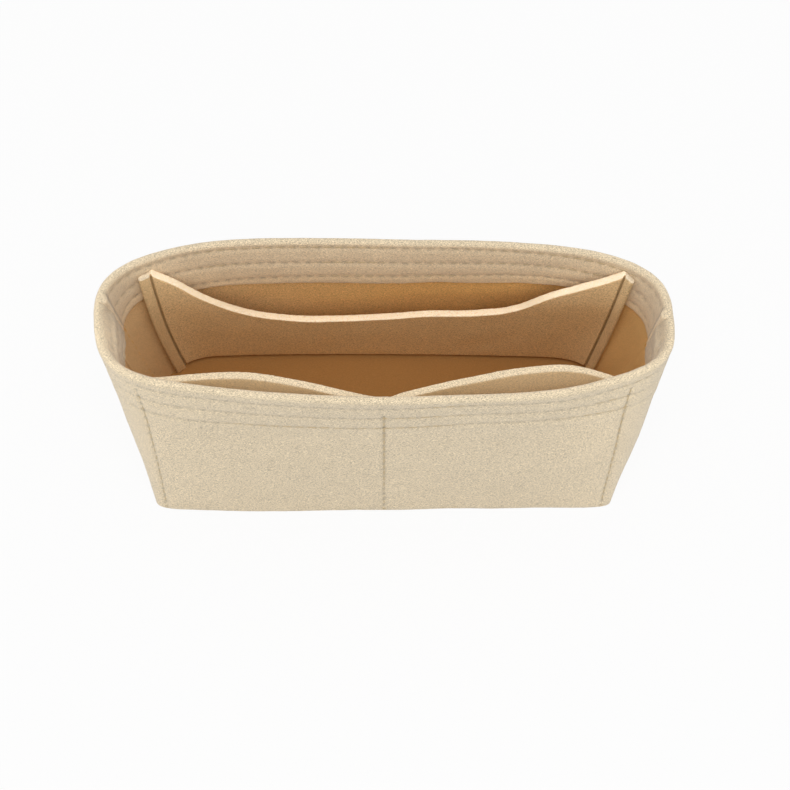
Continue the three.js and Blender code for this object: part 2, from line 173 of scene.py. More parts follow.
class InsertSizes(bpy.types.PropertyGroup):
    """Sizes of the felt pieces and their seams."""

    height: length("Height", "Table to rim", 86 * MM)
    rim_width: length("Rim width", "Outside, left to right", 210 * MM)
    rim_depth: length("Rim depth", "Outside, front to back", 71 * MM)
    base_width: length("Base width", "Outside, left to right", 181.5 * MM)
    base_depth: length("Base depth", "Outside, front to back", 78.6 * MM)
    base_setback: length("Base setback", "Middle of the base behind the middle of the rim", 6.4 * MM)
    wall_felt: length("Wall felt", "Thickness of the wall", 2 * MM)
    panel_felt: length("Panel felt", "Thickness of the divider and the pockets", 3 * MM)
    tab_felt: length("Tab felt", "Thickness of the divider's sewn tabs", 2.2 * MM)
    base_felt: length("Base felt", "Thickness of the base", 3 * MM)
    hem_felt: length("Hem felt", "Thickness of the stitched hem", 3 * MM)
    first_row: length("First row", "Rim to the hem's first row of stitches", 2.3 * MM)
    row_pitch: length("Row pitch", "Between rows of stitches", 7.8 * MM)
    hem_margin: length("Hem margin", "Last row to the hem's raw edge", 5 * MM)
    stitch: length("Stitch", "Length of one stitch", 4.6 * MM)
    thread: length("Thread", "Width of the thread", 0.6 * MM)
    divider_lift: length("Divider lift", "Base to the divider's lower edge", 3 * MM)
    tab_width: length("Tab width", "Divider's fold to the tab's edge", 6 * MM)
    lap_width: length("Lap width", "Overlap of the two wall halves", 12 * MM)
    pocket_seam: length("Pocket seam", "Middle of the front to the outer pocket seams", 89 * MM)
    pocket_edge: length("Pocket edge", "Outer pocket seam to the edge of the pocket felt", 4 * MM)
    pocket_foot: length("Pocket foot", "Height of the pocket felt that is sewn down", 6 * MM)
    pocket_drop: length("Pocket drop", "Rim to the pockets' top edge", 7.5 * MM)
    left_gape: length("Left gape", "How far the left pocket stands open", 7.8 * MM)
    right_gape: length("Right gape", "How far the right pocket stands open", 11.2 * MM)


class InsertColours(bpy.types.PropertyGroup):
    """Colours of the felt and the thread."""

    wall: hex_colour("Wall felt", "Outside of the walls", "#E0CFB1")
    hem: hex_colour("Hem", "Felt of the turned-in hem", "#E4CEAD")
    # The inside's warm tan is painted shade on the same felt as the outside
    shaded_inside: hex_colour("Inside", "Inside of the walls below the hem", "#F0C077")
    panel: hex_colour("Divider felt", "Felt of the divider", "#EFD09F")
    pocket: hex_colour("Pocket felt", "Felt of the pockets", "#F0D5AA")
    # The base's deep brown is painted shade, as it lies deep in the insert
    base: hex_colour("Base felt", "Felt of the base", "#B4844D")
    cut: hex_colour("Cut edge", "Raw edges of the walls and the divider", "#FFEBCB")
    pocket_cut: hex_colour("Pocket edge", "Raw edges of the pockets", "#F2DDBB")
    thread: hex_colour("Thread", "Sewing thread", "#CDB892")


class InsertStage(bpy.types.PropertyGroup):
    """Camera and light."""

    elevation: bpy.props.FloatProperty(
        name="Elevation",
        description="Height of the view above the horizon",
        default=math.radians(57.5),
        subtype="ANGLE",
    )
    distance: length("Distance", "Camera to the middle of the insert", 730 * MM)
    lens: bpy.props.FloatProperty(
        name="Lens", description="Focal length in millimetres", default=87.17, min=1.0
    )
    key_power: amount("Key light", "Power of the front lamp in watts", 9.0)
    sky: amount("Sky", "Strength of the light from all round", 0.74)


def to_linear(hex_value):
    """An sRGB hex value as linear red, green, blue and alpha."""
    channels = [int(hex_value[i : i + 2], 16) / 255 for i in (1, 3, 5)]
    linear = [c / 12.92 if c <= 0.04045 else ((c + 0.055) / 1.055) ** 2.4 for c in channels]
    return (*linear, 1.0)


def shaded(hex_value, factor):
    """A hex value's linear colour, made lighter or darker."""
    return (*(min(1.0, c * factor) for c in to_linear(hex_value)[:3]), 1.0)


def emptied_tree(owner):
    """The node tree of a material or a world, without its first nodes."""
    owner.use_nodes = True
    owner.node_tree.nodes.clear()
    return owner.node_tree


def add_node(tree, kind, settings=None, inputs=None):
    """Adds a shader node; an input gets a value, or a link from a socket or a node's first output."""
    node = tree.nodes.new("ShaderNode" + kind)
    for name, value in (settings or {}).items():
        setattr(node, name, value)
    for name, value in (inputs or {}).items():
        if isinstance(value, bpy.types.Node):
            value = value.outputs[0]
        if isinstance(value, bpy.types.NodeSocket):
            tree.links.new(value, node.inputs[name])
        else:
            node.inputs[name].default_value = value
    return node


def needle_felt(name, colours, contrast, relief=FACE_RELIEF, fuzz=0.0):
    """Needle-punched felt: matt, with short pale and dark fibres and, where asked, a soft fuzz.

    The colours run along the piece's own tone attribute, from 0 to 1, which inside the walls
    runs to painted shade; another attribute darkens the felt with painted shade in needle holes,
    creases and gaps, and lightens it with painted light where it is below 0.
    """
    if name in bpy.data.materials:
        return bpy.data.materials[name]
    material = bpy.data.materials.new(name)
    tree = emptied_tree(material)
    tone = add_node(tree, "Attribute", {"attribute_name": "tone"}).outputs["Fac"]
    painted_shading = add_node(tree, "Attribute", {"attribute_name": "painted_shading"}).outputs["Fac"]
    hue = add_node(tree, "ValToRGB", inputs={"Fac": tone})
    while len(hue.color_ramp.elements) < len(colours):
        hue.color_ramp.elements.new(0.5)
    for step, (element, colour) in enumerate(zip(hue.color_ramp.elements, colours)):
        element.position = step / (len(colours) - 1)
        element.color = to_linear(colour)
    place = add_node(tree, "TexCoord").outputs["Object"]
    # The fibres lie mostly level, so the flecks are longer than they are tall
    level = add_node(tree, "VectorMath", {"operation": "MULTIPLY"}, {0: place, 1: FLECK_STRETCH})
    fine = {"Vector": level, "Scale": 1 / FLECK, "Detail": 2.0, "Roughness": 0.7, "Distortion": 0.6}
    flecks = add_node(tree, "TexNoise", inputs=fine)
    # The web is a little denser in some places than in others
    clouds = add_node(tree, "TexNoise", inputs={"Vector": place, "Scale": 1 / CLOUD, "Detail": 2.0})
    blended = {"operation": "MULTIPLY_ADD"}
    web = add_node(tree, "Math", blended, {0: clouds, 1: CLOUD_SHARE, 2: flecks})
    low, high = FLECK_RANGE
    grain = add_node(
        tree,
        "MapRange",
        inputs={"Value": web, "From Min": low, "From Max": high, "To Min": -contrast, "To Max": contrast},
    )
    # Flecks show less inside, where the light comes from all round
    fade = add_node(tree, "Math", blended, {0: tone, 1: -INSIDE_FADE, 2: 1.0})
    flecked = add_node(tree, "Math", blended, {0: grain, 1: fade, 2: 1.0})
    # Painted shade darkens the colour here, and painted light lightens it where the attribute is below 0
    pressing_and_painted_shade = add_node(tree, "Math", {"operation": "SUBTRACT"}, {0: 1.0, 1: painted_shading})
    shade = add_node(tree, "Math", {"operation": "MULTIPLY"}, {0: flecked, 1: pressing_and_painted_shade})
    colour = add_node(tree, "VectorMath", {"operation": "SCALE"}, {0: hue, "Scale": shade})
    bump = add_node(tree, "Bump", inputs={"Height": flecks, "Strength": 0.8, "Distance": relief})
    shader = add_node(
        tree,
        "BsdfPrincipled",
        inputs={
            "Base Color": colour,
            "Roughness": 0.95,
            "Specular IOR Level": 0.15,
            "Sheen Weight": fuzz,
            "Sheen Roughness": 0.4,
            "Normal": bump,
        },
    )
    add_node(tree, "OutputMaterial", inputs={"Surface": shader})
    return material


def spun_thread(name, colour):
    """Spun polyester thread: matt, with fine darker lines between its plies."""
    if name in bpy.data.materials:
        return bpy.data.materials[name]
    material = bpy.data.materials.new(name)
    tree = emptied_tree(material)
    place = add_node(tree, "TexCoord").outputs["Object"]
    plies = add_node(tree, "TexNoise", inputs={"Vector": place, "Scale": 1 / THREAD_PLY, "Detail": 2.0})
    ramp = add_node(tree, "ValToRGB", inputs={"Fac": plies})
    for element, position, factor in zip(ramp.color_ramp.elements, (0.35, 0.65), (0.8, 1.1)):
        element.position = position
        element.color = shaded(colour, factor)
    matt = {"Base Color": ramp, "Roughness": 0.7, "Specular IOR Level": 0.3}
    shader = add_node(tree, "BsdfPrincipled", inputs=matt)
    add_node(tree, "OutputMaterial", inputs={"Surface": shader})
    return material


def bump_at(value, centre, width):
    """A soft bump of height 1."""
    return np.exp(-(((value - centre) / width) ** 2))


def bumps_at(value, bumps):
    """The sum of soft bumps, each given as its height, centre and half width."""
    return sum(height * bump_at(value, centre, width) for height, centre, width in bumps)


def wave(turns):
    """A wave from 0 to 1 that crests at whole turns."""
    return 0.5 + 0.5 * np.cos(2 * math.pi * turns)


def roughness(points, height, size, seed):
    """Smooth noise at each point, with lumps and hollows of a height and a size in millimetres."""
    flat = points.reshape(-1, 3) / (size * MM) + seed
    return height * MM * np.array([noise.noise(p) for p in flat]).reshape(points.shape[:-1])


def distances(points):
    """How far along a line each of its points lies."""
    steps = np.linalg.norm(np.diff(points, axis=0), axis=1)
    return np.concatenate([[0], np.cumsum(steps)])


def read_at(at, known, values):
    """Rows of values that belong to known places, read at other places."""
    return np.stack([np.interp(at, known, column) for column in values.T], axis=-1)


def smooth_through(points, at):
    """A smooth curve through a few points, read at given places."""
    x, y = np.array(points).T
    slope = np.gradient(y, x)
    step = np.clip(np.searchsorted(x, at) - 1, 0, len(x) - 2)
    width = x[step + 1] - x[step]
    t = (at - x[step]) / width
    start = (1 + 2 * t) * y[step] + t * width * slope[step]
    end = (3 - 2 * t) * y[step + 1] + (t - 1) * width * slope[step + 1]
    return (1 - t) ** 2 * start + t**2 * end


class Tube:
    """The tube's outside: a share of the way round, a height and a depth give a point."""

    def __init__(self, sizes):
        self.sizes = sizes
        self.shift = (sizes.base_setback + sizes.base_depth / 2 - sizes.rim_depth / 2) / 2
        outlines = [self.outline(height) for height in np.linspace(0, sizes.height, LEVELS + 1)]
        self.rings = np.array([points for points, _ in outlines])
        self.rim_length = outlines[-1][1]
        self.stitches = round(self.rim_length / sizes.stitch)
        ahead = np.roll(self.rings, -1, axis=1) - np.roll(self.rings, 1, axis=1)
        outward = np.stack([ahead[..., 1], -ahead[..., 0]], axis=-1)
        self.outward = outward / np.linalg.norm(outward, axis=-1, keepdims=True)

    def outline(self, height):
        """The outline at a height, as points spaced evenly on each half, and its length."""
        sizes = self.sizes
        rise = height / sizes.height
        flare = max(0.0, 1 - (sizes.height - height) / FLARE_BAND) ** 2
        base_front = sizes.base_setback - sizes.base_depth / 2
        base_back = sizes.base_setback + sizes.base_depth / 2
        rim = sizes.rim_depth / 2
        front = base_front + (FRONT_FLARE - rim - base_front) * rise - flare * FRONT_FLARE
        back = base_back + (rim - BACK_FLARE - base_back) * rise + flare * BACK_FLARE
        half_width = (sizes.base_width + (sizes.rim_width - sizes.base_width) * rise) / 2
        half_depth = (back - front) / 2
        halves = []
        total = 0.0
        for start, at_base in ((0.0, BACK_SQUARENESS), (math.pi, FRONT_SQUARENESS)):
            squareness = 1 / ((1 - rise) / at_base + rise / RIM_SQUARENESS)
            angle = np.linspace(start, start + math.pi, 2 * COLUMNS + 1)
            across = np.abs(np.cos(angle) / half_width) ** squareness
            along = np.abs(np.sin(angle) / half_depth) ** squareness
            radius = (across + along) ** (-1 / squareness)
            x = radius * np.cos(angle)
            y = (back + front) / 2 + radius * np.sin(angle)
            points = np.stack([x, y], axis=-1)
            run = distances(points)
            halves.append(read_at(run[-1] * np.arange(COLUMNS // 2) / (COLUMNS // 2), run, points))
            total += run[-1]
        return np.concatenate(halves), total

    def at(self, share, height, depth):
        """Points at a depth inside the outside; the three arguments are numbers or like arrays."""
        given = (np.asarray(value, float) for value in (share, height, depth))
        share, height, depth = np.broadcast_arrays(*given)
        for place, level, wide, tall, out in DENTS:
            along = (np.abs((share - place + 0.5) % 1.0 - 0.5) * self.rim_length) / (wide * MM)
            up = (height - level * MM) / (tall * MM)
            depth = depth - out * MM * np.exp(-(along**2) - up**2)
        column = (share % 1.0) * COLUMNS
        left = np.floor(column).astype(int) % COLUMNS
        right = (left + 1) % COLUMNS
        slip = (column - np.floor(column))[..., None]
        level = np.clip(height / self.sizes.height, 0, 1) * LEVELS
        low = np.minimum(np.floor(level).astype(int), LEVELS - 1)
        rise = (level - low)[..., None]

        def between(grid):
            lower = grid[low, left] * (1 - slip) + grid[low, right] * slip
            upper = grid[low + 1, left] * (1 - slip) + grid[low + 1, right] * slip
            return lower * (1 - rise) + upper * rise

        flat = between(self.rings) - between(self.outward) * depth[..., None]
        return np.stack([flat[..., 0], flat[..., 1] - self.shift, height], axis=-1)

    def outward_at(self, share, height):
        """Level directions out of the tube."""
        step = self.at(share, height, -MM) - self.at(share, height, 0.0)
        return step / np.linalg.norm(step, axis=-1, keepdims=True)

    def along(self, distance):
        """A distance along the rim as a share of the way round."""
        return distance / self.rim_length

    def hem_edge(self):
        """Height of the hem's raw edge."""
        sizes = self.sizes
        return sizes.height - sizes.first_row - 2 * sizes.row_pitch - sizes.hem_margin

    def row_spread(self, share):
        """How far apart the rows of stitches run: wider at the back left, closer at the ends."""
        return 1 - bumps_at(np.asarray(share, float) % 1.0, ROWS_CLOSER)

    def row_heights(self, share):
        """Heights of the hem's rows of stitches; they sit a little lower along the front."""
        sizes = self.sizes
        share = np.asarray(share, float) % 1.0
        drop = ROW_DROP * wave(share - FRONT_MIDDLE) - bumps_at(share, ROWS_HIGHER)
        pitch = sizes.row_pitch * self.row_spread(share)
        return [sizes.height - sizes.first_row - drop - i * pitch for i in range(len(HEM_ROWS))]

    def pocket_line(self, height, side):
        """Place of a pocket's seam: -1 for the left, 0 for the middle and 1 for the right."""
        reach = POCKET_FOOT_REACH + POCKET_SLANT * np.asarray(height, float) / self.sizes.height
        return FRONT_MIDDLE + side * self.along(self.sizes.pocket_seam) * reach

    def lining_depth(self, height):
        """Depth of a lining's outer face: on the hem, and eased to the bare wall below it."""
        bend = self.hem_edge() - PLY_GAP
        below = np.clip((bend - np.asarray(height, float)) / LINING_EASE, 0, 1)
        on_hem = self.sizes.hem_felt + THREAD_ROOM
        return on_hem + (self.sizes.wall_felt - on_hem) * below + PLY_GAP


def finish_piece(name, maker, materials):
    """Turns a bmesh into an object at the origin, with smooth faces and sharp cut edges."""
    mesh = bpy.data.meshes.new(name)
    maker.to_mesh(mesh)
    maker.free()
    mesh.shade_smooth()
    mesh.set_sharp_from_angle(angle=SMOOTH_ANGLE)
    for material in materials:
        mesh.materials.append(material)
    piece = bpy.data.objects.new(name, mesh)
    bpy.context.scene.collection.objects.link(piece)
    return piece


def wrapped(points, row_materials, tones=0.0, painted_shading_grid=0.0, cap_material=1):
    """A closed ply: a grid whose rows go round a section and whose columns run along the felt."""
    columns, rows = points.shape[:2]
    tones = np.broadcast_to(tones, (columns, rows))
    painted_shading_grid = np.broadcast_to(painted_shading_grid, (columns, rows))
    maker = bmesh.new()
    tone = maker.verts.layers.float.new("tone")
    # A layer for each point's painted shade, and painted light where it is below 0
    painted_shading = maker.verts.layers.float.new("painted_shading")
    bmesh.ops.create_grid(maker, x_segments=columns - 1, y_segments=rows, size=0.5)
    if len(maker.verts) != columns * (rows + 1):
        raise RuntimeError("the grid hasn't the asked number of points")
    for face in maker.faces:
        row = int((face.calc_center_median().y + 0.5) * rows)
        face.material_index = int(row_materials[row])
    for vertex in maker.verts:
        column = round((vertex.co.x + 0.5) * (columns - 1))
        row = round((vertex.co.y + 0.5) * rows) % rows
        vertex.co = points[column, row]
        vertex[tone] = tones[column, row]
        vertex[painted_shading] = painted_shading_grid[column, row]
    bmesh.ops.remove_doubles(maker, verts=maker.verts, dist=1e-7)
    open_edges = [edge for edge in maker.edges if edge.is_boundary]
    caps = bmesh.ops.holes_fill(maker, edges=open_edges, sides=0)["faces"]
    for face in caps:
        face.material_index = cap_material
    bmesh.ops.recalc_face_normals(maker, faces=maker.faces)
    return maker


def rounded_edge(radius, thickness, steps=3):
    """Rows over a cut edge: how far below the edge, and how far into the ply, for each."""
    turn = np.linspace(0, math.pi / 2, steps + 1)
    drop = radius * (1 - np.sin(turn))
    inset = radius * (1 - np.cos(turn))
    return (
        np.concatenate([drop, drop[::-1]]),
        np.concatenate([inset, thickness - inset[::-1]]),
    )


def ply_rows(steps, thickness, radius):
    """Rows round a ply's section: share of its height, drop at an edge, place in its thickness."""
    drop, inset = rounded_edge(radius, thickness)
    faces = np.linspace(0, 1, steps + 1)[1:-1]
    level = np.zeros(len(faces))
    share = np.concatenate([faces, np.ones(len(drop)), faces[::-1], np.zeros(len(drop))])
    fall = np.concatenate([level, drop, level, -drop])
    depth = np.concatenate([level, inset, level + thickness, inset[::-1]])
    cut = np.concatenate([level, np.ones(len(drop)), level, np.ones(len(drop))])
    return share, fall, depth, cut


def stitch_row(name, node, tube, centres, directions, outward, materials, width_scale=1.0):
    """One row of stitches for a node: slim spindles that dip into the felt at both ends."""
    sizes = tube.sizes
    radius = width_scale * sizes.thread / 2
    scale = Matrix.Diagonal((radius, STITCH_FLATNESS * radius, STITCH_HALF * sizes.stitch, 1.0))
    maker = bmesh.new()
    for centre, direction, out in zip(centres, directions, outward):
        ahead = Vector(direction).normalized()
        up = Vector(out)
        up = (up - ahead * up.dot(ahead)).normalized()
        turn = Matrix((ahead.cross(up), up, ahead)).transposed().to_4x4()
        place = Matrix.Translation(centre) @ turn @ scale
        bmesh.ops.create_uvsphere(maker, u_segments=6, v_segments=6, radius=1.0, matrix=place)
    piece = finish_piece(name, maker, materials)
    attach(piece, "insert")
    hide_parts(node)


def stitch_places(points, stitch, count=None):
    """Stitches that fit on a line of points: their middles, directions and shares of its length."""
    run = distances(points)
    count = count or max(1, round(run[-1] / stitch))
    middles = (np.arange(count) + 0.5) * run[-1] / count
    step = 0.3 * run[-1] / count
    directions = read_at(middles + step, run, points) - read_at(middles - step, run, points)
    return read_at(middles, run, points), directions, middles / run[-1]


class InsertOperator(bpy.types.Operator):
    """Shared by the operators that make a piece."""

    bl_options = {"REGISTER", "UNDO"}

    def tube(self, context):
        """The tube at the scene's sizes."""
        return Tube(context.scene.insert_sizes)

    def felts(self, context):
        """Felts of the walls, panels and base, each with the felt of its cut edges."""
        colours = context.scene.insert_colours
        walls = [colours.wall, colours.hem, colours.shaded_inside]
        # Cut edges are paler and rougher, as the fibres stand open there
        cut = needle_felt("cut_felt_edge", [colours.cut] * 2, contrast=0.42, relief=CUT_RELIEF)
        pocket_cut = needle_felt(
            "cut_pocket_edge", [colours.pocket_cut] * 2, contrast=0.42, relief=CUT_RELIEF
        )
        return {
            # Outside, a pale sand with clear flecks and a fuzz that softens its edges; inside, the
            # same felt is painted a warm tan as painted shade, without fuzz
            "wall": [
                needle_felt("sand_needle_felt", walls, contrast=0.54, fuzz=0.4),
                cut,
                needle_felt("shaded_inner_needle_felt", walls, contrast=0.8),
            ],
            # The divider is warm and flecked, the pockets a little paler and calmer
            "panel": [needle_felt("divider_needle_felt", [colours.panel] * 2, contrast=0.5), cut],
            "pocket": [needle_felt("pocket_needle_felt", [colours.pocket] * 2, contrast=0.3), pocket_cut],
            # The base is a smooth brown, darker than the walls' felt as painted shade deep in the insert
            "base": [needle_felt("shaded_base_needle_felt", [colours.base] * 2, contrast=0.12), cut],
        }

    def threads(self, context):
        """The one thread of nearly all seams, a little darker than the felt."""
        return [spun_thread("spun_polyester_thread", context.scene.insert_colours.thread)]


class INSERT_OT_walls(InsertOperator):
    """Two wall halves, each turned in over the rim as a stitched hem, and their side laps"""

    bl_idname = "insert.walls"
    bl_label = "Walls"

    # Steps along the felt, up its plain parts and up its hem
    ALONG, COARSE, FINE = 0.5 * MM, 2.2 * MM, 0.65 * MM

    # Tone, how far the colour runs towards the inside's painted shade: at the hem's fold and at its raw
    # edge, and of the laps
    HEM_TONES = (0.4, 0.6)
    LAP_TONES = {"left": 0.74, "right": 0.9}

    # Bumps by place: where the rows of stitches are faint inside and outside, where the front
    # half's hem leans off the wall, and where the outside is painted lighter as painted light
    FAINT_INSIDE = ((0.6, 0.0, 0.045), (0.6, 0.5, 0.045), (0.6, 1.0, 0.045))
    FAINT_OUTSIDE = ((0.75, 0.525, 0.03), (0.75, 0.975, 0.03))
    HEM_LEAN = ((3.4 * MM, 0.51, 0.035), (2.5 * MM, 0.985, 0.03))
    END_PAINTED_LIGHT = ((0.2, 0.515, 0.06), (0.1, 0.05, 0.06), (0.1, 0.95, 0.06))

    # Bumps by distance from the cut ends of each half's hem: painted shade, and painted light where below 0
    BACK_SHADE = ((0.3, 4.8 * MM, 0.8 * MM), (-0.12, 1.6 * MM, 1.8 * MM))
    FRONT_SHADE = ((0.15, 0.0, 5 * MM), (0.1, 12 * MM, 14 * MM))

    # Width of a needle hole, length of the laps' rise off the wall, and room between the halves
    HOLE = 0.6 * MM
    JOGGLE = 6 * MM
    BUTT = 0.03 * MM

    def section(self, tube):
        """Rows round the wall's section: height, depth, cut edge or not, tone towards painted shade, and
        which face.

        The face goes from 1 outside to -1 on the hem, over the fold, and is 0 below the hem.
        """
        sizes = tube.sizes
        felt = sizes.wall_felt
        ply = sizes.hem_felt / 2
        edge = tube.hem_edge()
        top = sizes.height - ply
        plain = edge - 3 * MM
        nick, ease, bend = 0.1 * MM, 0.4 * MM, 0.5 * MM

        def levels(low, high, step):
            return np.linspace(low, high, max(2, round((high - low) / step) + 1))

        outside = np.concatenate([levels(ease, plain, self.COARSE)[:-1], levels(plain, top, self.FINE)])
        turn = np.linspace(0, math.pi, 11)[1:-1]
        fold = top + ply * np.sin(turn)
        hem = levels(edge + ease, top, self.FINE)[::-1]
        raw = np.array([edge + nick, edge, edge])
        raw_depth = np.array([2 * ply - nick, 2 * ply - ease, felt + nick])
        inside = levels(ease, edge - PLY_GAP, self.COARSE)[::-1]
        foot = np.array([nick, 0, 0, nick])
        foot_depth = np.array([felt - nick, felt - bend, bend, nick])
        at_fold, at_raw = self.HEM_TONES
        bands = (
            (outside, 0, 0, 0, 1),
            (fold, ply * (1 - np.cos(turn)), 0, at_fold * (turn / math.pi) ** 2, np.cos(turn)),
            (hem, 2 * ply, 0, np.linspace(at_fold, at_raw, len(hem)), -1),
            (raw, raw_depth, 1, at_raw, -1),
            (inside, felt, 0, 1, 0),
            (foot, foot_depth, 0, 0, 0),
        )
        filled = [[np.broadcast_to(value, band[0].shape) for value in band] for band in bands]
        height, depth, cut, tone, face = (np.concatenate(values) for values in zip(*filled))
        # The face below the hem's last row belongs to its raw edge
        cut[len(outside) + len(fold) + len(hem) - 1] = 1
        return height, depth, cut, tone, face

    def half(self, tube, name, start, end, seams, felts):
        """One half of the tube; seams are upright lines: place at the rim and the foot, and top."""
        sizes = tube.sizes
        edge = tube.hem_edge()
        height, depth, cut, tone, face = self.section(tube)
        columns = round((end - start) * tube.rim_length / self.ALONG)
        share = np.linspace(start, end, columns + 1)[:, None]
        height = height[None, :] + 0 * share
        run = share * tube.rim_length
        spots = tube.at(share, height, 0.0)
        inner = np.clip(-face, 0, 1)[None, :]
        # 1 on the hem, eased to 0 over 4 mm at its raw edge
        hem = np.clip((height - edge + 2 * MM) / (4 * MM), 0, 1)
        # Rows of stitches draw the hem's two plies together, most at the needle holes
        holes = wave(share * tube.stitches)
        rows = tube.row_heights(share)
        inside, outside = bumps_at(share, self.FAINT_INSIDE), bumps_at(share, self.FAINT_OUTSIDE)
        clear = 1 - np.where(face < 0, inside, outside)
        pull = sum(bump_at(height, row, 1.3 * MM) for row in rows) * (0.75 + 0.25 * holes) * clear
        press = -face * hem * (0.2 - np.where(face > 0, 0.32, 0.42) * pull) * MM
        # The rows' needle holes are painted darker as shade, faint where the rows are faint
        sunk = sum(bump_at(height, row, self.HOLE) for row in rows) * clear
        row_painted_shade = np.where(face > 0, 0.09 + 0.2 * holes, 0.38 * holes)
        painted_shading = hem * np.abs(face) * sunk * row_painted_shade
        # Upright seams press a shallow groove into the outside
        for at_rim, at_foot, top in seams:
            line = (at_foot + (at_rim - at_foot) * height / sizes.height) * tube.rim_length
            sewn = (face > 0.99) * (height < top)
            press = press + 0.35 * MM * sewn * bump_at(run, line, 0.9 * MM)
            # Their needle holes are painted darker as shade
            pitch = top / round(top / sizes.stitch)
            seam_holes = wave((top - height) / pitch)
            painted_shading = painted_shading + 0.45 * sewn * seam_holes * bump_at(run, line, self.HOLE)
        # The hem's ends are cut across: thick on the back half, thin and crumpled on the front half
        from_end = np.minimum(run - run[0], run[-1] - run)
        if name == "back_wall_felt":
            lump = 1.2 * MM * bump_at(from_end, 2.0 * MM, 2.0 * MM)
            # Painted shade beside the back half's thick hem ends, and painted light on their lumps
            painted_shading = painted_shading + inner * bumps_at(from_end, self.BACK_SHADE)
        else:
            down = np.clip((sizes.height - height) / (sizes.height - edge), 0, 1)
            lump = bump_at(from_end, 12 * MM, 14 * MM) * (roughness(spots, *HEM_CRUMPLE) - 0.3 * MM)
            # There its raw edge stands off the wall, so the hem faces up a little
            lump = lump + bumps_at(share, self.HEM_LEAN) * np.clip(down / 0.28, 0, 1)
            # Painted shade at the front half's thin hem ends and in their crumple
            painted_shading = painted_shading + inner * bumps_at(from_end, self.FRONT_SHADE)
            # On the left its upper part is painted lighter and its lower part painted darker: painted light
            # and shade
            painted_shading = painted_shading + inner * bump_at(share, 0.522, 0.03) * (0.36 * down - 0.16)
        press = press + inner * hem * lump
        # The inside is painted a little darker at the sides than at the back, as painted shade, and paler
        # on the left, as painted light
        within = (tone == 1)[None, :]
        half_turn = math.pi * share
        tone = tone[None, :] - within * (0.26 * np.sin(half_turn) ** 4 + 0.1 * np.cos(half_turn) ** 8)
        painted_shading = painted_shading + 0.06 * within * np.cos(2 * half_turn) ** 2
        # The outside is painted lighter at the two ends, most on the left, and so is the
        # fold along the front: painted light
        outer = np.clip(face + 0.6, 0, 1)[None, :]
        painted_shading = painted_shading - outer * bumps_at(share, self.END_PAINTED_LIGHT)
        painted_shading = painted_shading - 0.07 * (1 - face**2)[None, :] * bump_at(share, FRONT_MIDDLE, 0.2)
        # The hem's raw edge isn't cut quite straight, and keeps its distance from the last row
        level = 0 * run
        waver = roughness(np.concatenate([run, level, level], axis=1), *HEM_WAVER)[:, None]
        waver = waver - (len(HEM_ROWS) - 1) * sizes.row_pitch * (tube.row_spread(share) - 1)
        near = np.clip(1 - np.abs(height - edge) / (8 * MM), 0, 1) * (face <= 0)[None, :]
        ragged = roughness(spots, *WALL_CUT) * (cut == 1)[None, :]
        uneven = roughness(spots, *WALL_LUMPS) + roughness(spots, *WALL_RIPPLES)
        points = tube.at(share, height + ragged + near * waver, depth[None, :] + press + uneven)
        # Rows inside below the hem take the felt's copy painted in shade
        materials = cut + 2 * within[0]
        piece = finish_piece(name, wrapped(points, materials, tone, painted_shading), felts)
        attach(piece, "insert")
        return piece

    def lap(self, tube, side, seam, towards_back, felt):
        """The front half's end, which laps inside the back half below the hem."""
        sizes = tube.sizes
        low = sizes.base_felt + PLY_GAP
        high = tube.hem_edge() - PLY_GAP
        share, fall, into, cut = ply_rows(steps=34, thickness=sizes.wall_felt, radius=0.4 * MM)
        run = np.linspace(-self.JOGGLE, sizes.lap_width, 40)[:, None]
        step = np.clip((run + self.JOGGLE) / self.JOGGLE, 0, 1)
        height = low + (high - low) * share[None, :] - fall[None, :] + 0 * run
        # The lap is pressed flat, and thin at its end and its top
        thin = np.clip((sizes.lap_width - run) / (5 * MM), 0.06, 1)
        thin = thin * np.clip((high - height) / (9 * MM), 0.08, 1)
        depth = sizes.wall_felt + 0.05 * MM + (0.06 + 0.14 * step) * thin * into[None, :]
        place = seam + towards_back * tube.along(run)
        spots = tube.at(place + 0 * height, height, 0.0)
        points = tube.at(place, height, depth + roughness(spots, *LAP_LUMPS))
        maker = wrapped(points, 0 * cut, self.LAP_TONES[side])
        piece = finish_piece(f"side_lap_{side}", maker, [felt, felt])
        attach(piece, "insert")
        return piece

    def execute(self, context):
        tube = self.tube(context)
        felts = self.felts(context)["wall"]
        butt = tube.along(self.BUTT)
        lap_middle = tube.along(tube.sizes.lap_width / 2)
        below_hem = tube.hem_edge() - SEAM_END
        back_seams = [
            (place, place, below_hem)
            for place in (RIGHT_SIDE + lap_middle, *TAB_SEAMS.values(), LEFT_SIDE - lap_middle)
        ]
        back = self.half(tube, "back_wall_felt", RIGHT_SIDE + butt, LEFT_SIDE - butt, back_seams, felts)
        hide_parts("back_wall")
        front_seams = [
            (tube.pocket_line(tube.sizes.height, side), tube.pocket_line(0.0, side), POCKET_SEAM_TOPS[name])
            for name, side in POCKET_SEAMS.items()
        ]
        right = RIGHT_SIDE + 1
        front = self.half(tube, "front_wall_felt", LEFT_SIDE + butt, right - butt, front_seams, felts)
        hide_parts("front_wall")
        for side, place, towards_back in SIDE_SEAMS:
            # The laps take the felt's copy painted in shade
            lap = self.lap(tube, side, place, towards_back, felts[2])
            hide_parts("front_wall")
        return {"FINISHED"}


